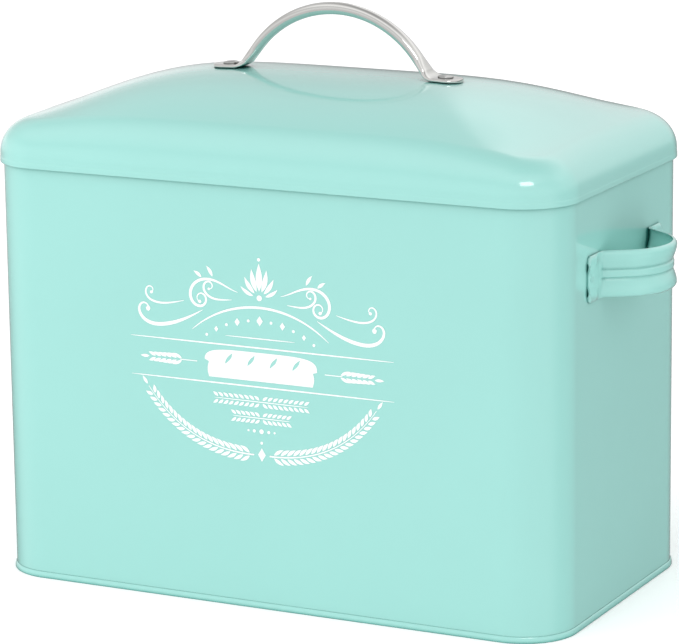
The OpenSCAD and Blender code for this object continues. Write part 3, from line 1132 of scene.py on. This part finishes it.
def add_floor():
    """A wide pale floor, which the gloss doesn't reflect: the room stands in for it there."""
    shell = Shell()
    size, cuts = 14.0, 12
    rows = [shell.row([(mix(-size, size, u), mix(-size, size, v), 0) for u in spread(cuts)])
            for v in spread(cuts)]
    shell.loft(rows, closed=False)
    floor = shell.build("floor", floor_material())
    floor.data.flip_normals()
    floor.visible_glossy = False
    floor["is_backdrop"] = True


# Brightness of the room by the sine of the elevation, on the camera's side and beyond the object
ROOM_NEAR = ((-1.0, 0.7), (-0.1, 0.75), (0.05, 0.9), (0.3, 0.95), (0.45, 0.8), (0.52, 0.65),
             (0.62, 0.95), (0.76, 1.2), (0.88, 1.1), (0.95, 0.7), (1.0, 0.5))
ROOM_FAR = ((-1.0, 0.3), (-0.1, 0.26), (0.0, 0.36), (0.1, 0.6), (0.17, 0.66), (0.4, 0.62),
            (0.62, 0.72), (0.74, 0.7), (0.86, 0.52), (1.0, 0.45))
# A pale wall beyond the left end lights the room's horizon there
LEFT_GLOW = ((-1.0, 0.0), (-0.25, 0.0), (-0.06, 0.55), (0.06, 0.5), (0.2, 0.12), (0.35, 0.0),
             (1.0, 0.0))
# A bright panel beyond the object, to the right of an upright edge that runs along this slope
PANEL_SLOPE = 0.47
PANEL_GLOW = ((-1.0, 0.0), (0.0, 0.0), (0.1, 0.1), (0.34, 0.3), (0.6, 0.6), (0.8, 0.3), (1.0, 0.0))


class Sky:
    """A pale room in a world shader, laid out by direction."""

    def __init__(self):
        world = bpy.data.worlds.new("studio")
        bpy.context.scene.world = world
        world.use_nodes = True
        self.tree = world.node_tree
        self.tree.nodes.clear()
        place = self.tree.nodes.new("ShaderNodeTexCoord")
        self.axes = self.tree.nodes.new("ShaderNodeSeparateXYZ")
        self.tree.links.new(place.outputs["Generated"], self.axes.inputs[0])
        self.height = self.calc("MULTIPLY_ADD", self.axes.outputs["Z"], 0.5, 0.5)

    def by_height(self, stops):
        """Brightness by height; the ramp's 0 to 1 is straight down to straight up."""
        ramp = self.tree.nodes.new("ShaderNodeValToRGB")
        elements = ramp.color_ramp.elements
        while len(elements) < len(stops):
            elements.new(0.5)
        for element, (height, value) in zip(elements, stops):
            element.position = (height + 1) / 2
            element.color = (value, value, value, 1)
        self.tree.links.new(self.height, ramp.inputs["Fac"])
        return ramp.outputs["Color"]

    def share(self, source, low, high):
        """From 0 to 1 as the source goes from low to high."""
        node = self.tree.nodes.new("ShaderNodeMapRange")
        node.interpolation_type = "SMOOTHSTEP"
        node.inputs["From Min"].default_value = low
        node.inputs["From Max"].default_value = high
        self.tree.links.new(source, node.inputs["Value"])
        return node.outputs["Result"]

    def calc(self, operation, a, b, c=0.0):
        node = self.tree.nodes.new("ShaderNodeMath")
        node.operation = operation
        for socket, value in zip(node.inputs, (a, b, c)):
            if isinstance(value, float):
                socket.default_value = value
            else:
                self.tree.links.new(value, socket)
        return node.outputs[0]

    def blend(self, share, a, b):
        node = self.tree.nodes.new("ShaderNodeMix")
        self.tree.links.new(share, node.inputs["Factor"])
        self.tree.links.new(a, node.inputs[2])
        self.tree.links.new(b, node.inputs[3])
        return node.outputs[0]

    def build(self):
        """The room's two sides run into each other, with the panel and the left glow added."""
        far_side = self.share(self.axes.outputs["Y"], -0.3, 0.3)
        room = self.blend(far_side, self.by_height(ROOM_NEAR), self.by_height(ROOM_FAR))
        edge = self.calc("MULTIPLY_ADD", self.axes.outputs["Y"], PANEL_SLOPE,
                         self.axes.outputs["X"])
        panel = self.calc("MULTIPLY", self.share(edge, -0.02, 0.05),
                          self.share(self.axes.outputs["Y"], -0.1, 0.4))
        glow = self.calc("MULTIPLY", panel, self.by_height(PANEL_GLOW))
        left = self.calc("MULTIPLY", far_side, self.share(self.axes.outputs["X"], -0.42, -0.56))
        glow = self.calc("MULTIPLY_ADD", left, self.by_height(LEFT_GLOW), glow)
        background = self.tree.nodes.new("ShaderNodeBackground")
        self.tree.links.new(self.calc("ADD", room, glow), background.inputs["Color"])
        output = self.tree.nodes.new("ShaderNodeOutputWorld")
        self.tree.links.new(background.outputs[0], output.inputs["Surface"])


def add_light(light, azimuth, elevation, distance, diffuse=True, glossy=True):
    """A light that looks at the middle of the object from a direction given in degrees."""
    a, e = math.radians(azimuth), math.radians(elevation)
    back = Vector((math.sin(a) * math.cos(e), -math.cos(a) * math.cos(e), math.sin(e)))
    holder = bpy.data.objects.new(light.name, light)
    holder.location = Vector((0, 0, lid_high.z / 2)) + back * distance
    holder.rotation_euler = back.to_track_quat("Z", "Y").to_euler()
    holder.visible_diffuse = diffuse
    holder.visible_glossy = glossy
    bpy.context.scene.collection.objects.link(holder)


# Where each light stands: azimuth and elevation in degrees, and distance
KEY_PLACE = (-10, 66, 3.0)
SOFTBOX_PLACE = (34, 38, 2.6)
SOFTBOX_BRIGHTNESS = 7
# The fills' names, watts and places
FILLS = (("left_fill", 1.2, (-50, 12, 0.9)), ("right_fill", 0.3, (62, 8, 0.75)))


def add_lights():
    """A broad key from above, a near fill on each side, and a softbox that only the gloss shows."""
    key = bpy.data.lights.new("key", "SUN")
    key.energy = 0.54
    key.angle = math.radians(38)
    add_light(key, *KEY_PLACE, glossy=False)
    for name, power, place in FILLS:
        fill = bpy.data.lights.new(name, "AREA")
        fill.size = 0.45
        fill.energy = power
        add_light(fill, *place, glossy=False)
    softbox = bpy.data.lights.new("softbox", "AREA")
    softbox.shape = "RECTANGLE"
    softbox.size, softbox.size_y = 1.0, 0.5
    softbox.energy = SOFTBOX_BRIGHTNESS * math.pi * softbox.size * softbox.size_y
    add_light(softbox, *SOFTBOX_PLACE, diffuse=False)


# The camera's direction, distance and lens
VIEW_AZIMUTH = math.radians(26.852)
VIEW_ELEVATION = math.radians(13.064)
VIEW_ROLL = math.radians(-0.711)
VIEW_DISTANCE = 1.9632
VIEW_TARGET = Vector((-0.00024, 0, 0.13378))
LENS_MM = 195.19


def add_camera():
    """A long lens at the photograph's angle, rolled a little about its own axis."""
    camera = bpy.data.cameras.new("camera")
    camera.sensor_width = 36
    camera.lens = LENS_MM
    camera.clip_start = 0.05
    camera.clip_end = 60
    holder = bpy.data.objects.new("camera", camera)
    flat = Vector((math.sin(VIEW_AZIMUTH), -math.cos(VIEW_AZIMUTH), 0))
    back = flat * math.cos(VIEW_ELEVATION) + Vector((0, 0, math.sin(VIEW_ELEVATION)))
    holder.location = VIEW_TARGET + back * VIEW_DISTANCE
    turn = back.to_track_quat("Z", "Y").to_matrix()
    right = Vector((0, 0, 1)).cross(back).normalized()
    up = back.cross(right)
    turned_right = right * math.cos(VIEW_ROLL) + up * math.sin(VIEW_ROLL)
    turned_up = up * math.cos(VIEW_ROLL) - right * math.sin(VIEW_ROLL)
    for row in range(3):
        turn[row][0], turn[row][1], turn[row][2] = turned_right[row], turned_up[row], back[row]
    holder.rotation_euler = turn.to_euler()
    bpy.context.scene.collection.objects.link(holder)
    bpy.context.scene.camera = holder


def write_sizes():
    """Sets the CAD model's box and the visual model's box side by side in a dictionary; nothing
    saves it.
    """
    boxes = {"cad": cad_bounds, "visual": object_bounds()}
    plain = {name: [list(corner) for corner in box] for name, box in boxes.items()}


add_camera()
make_object()
add_floor()
Sky().build()
add_lights()
bpy.context.scene.view_settings.view_transform = "Standard"
write_sizes()
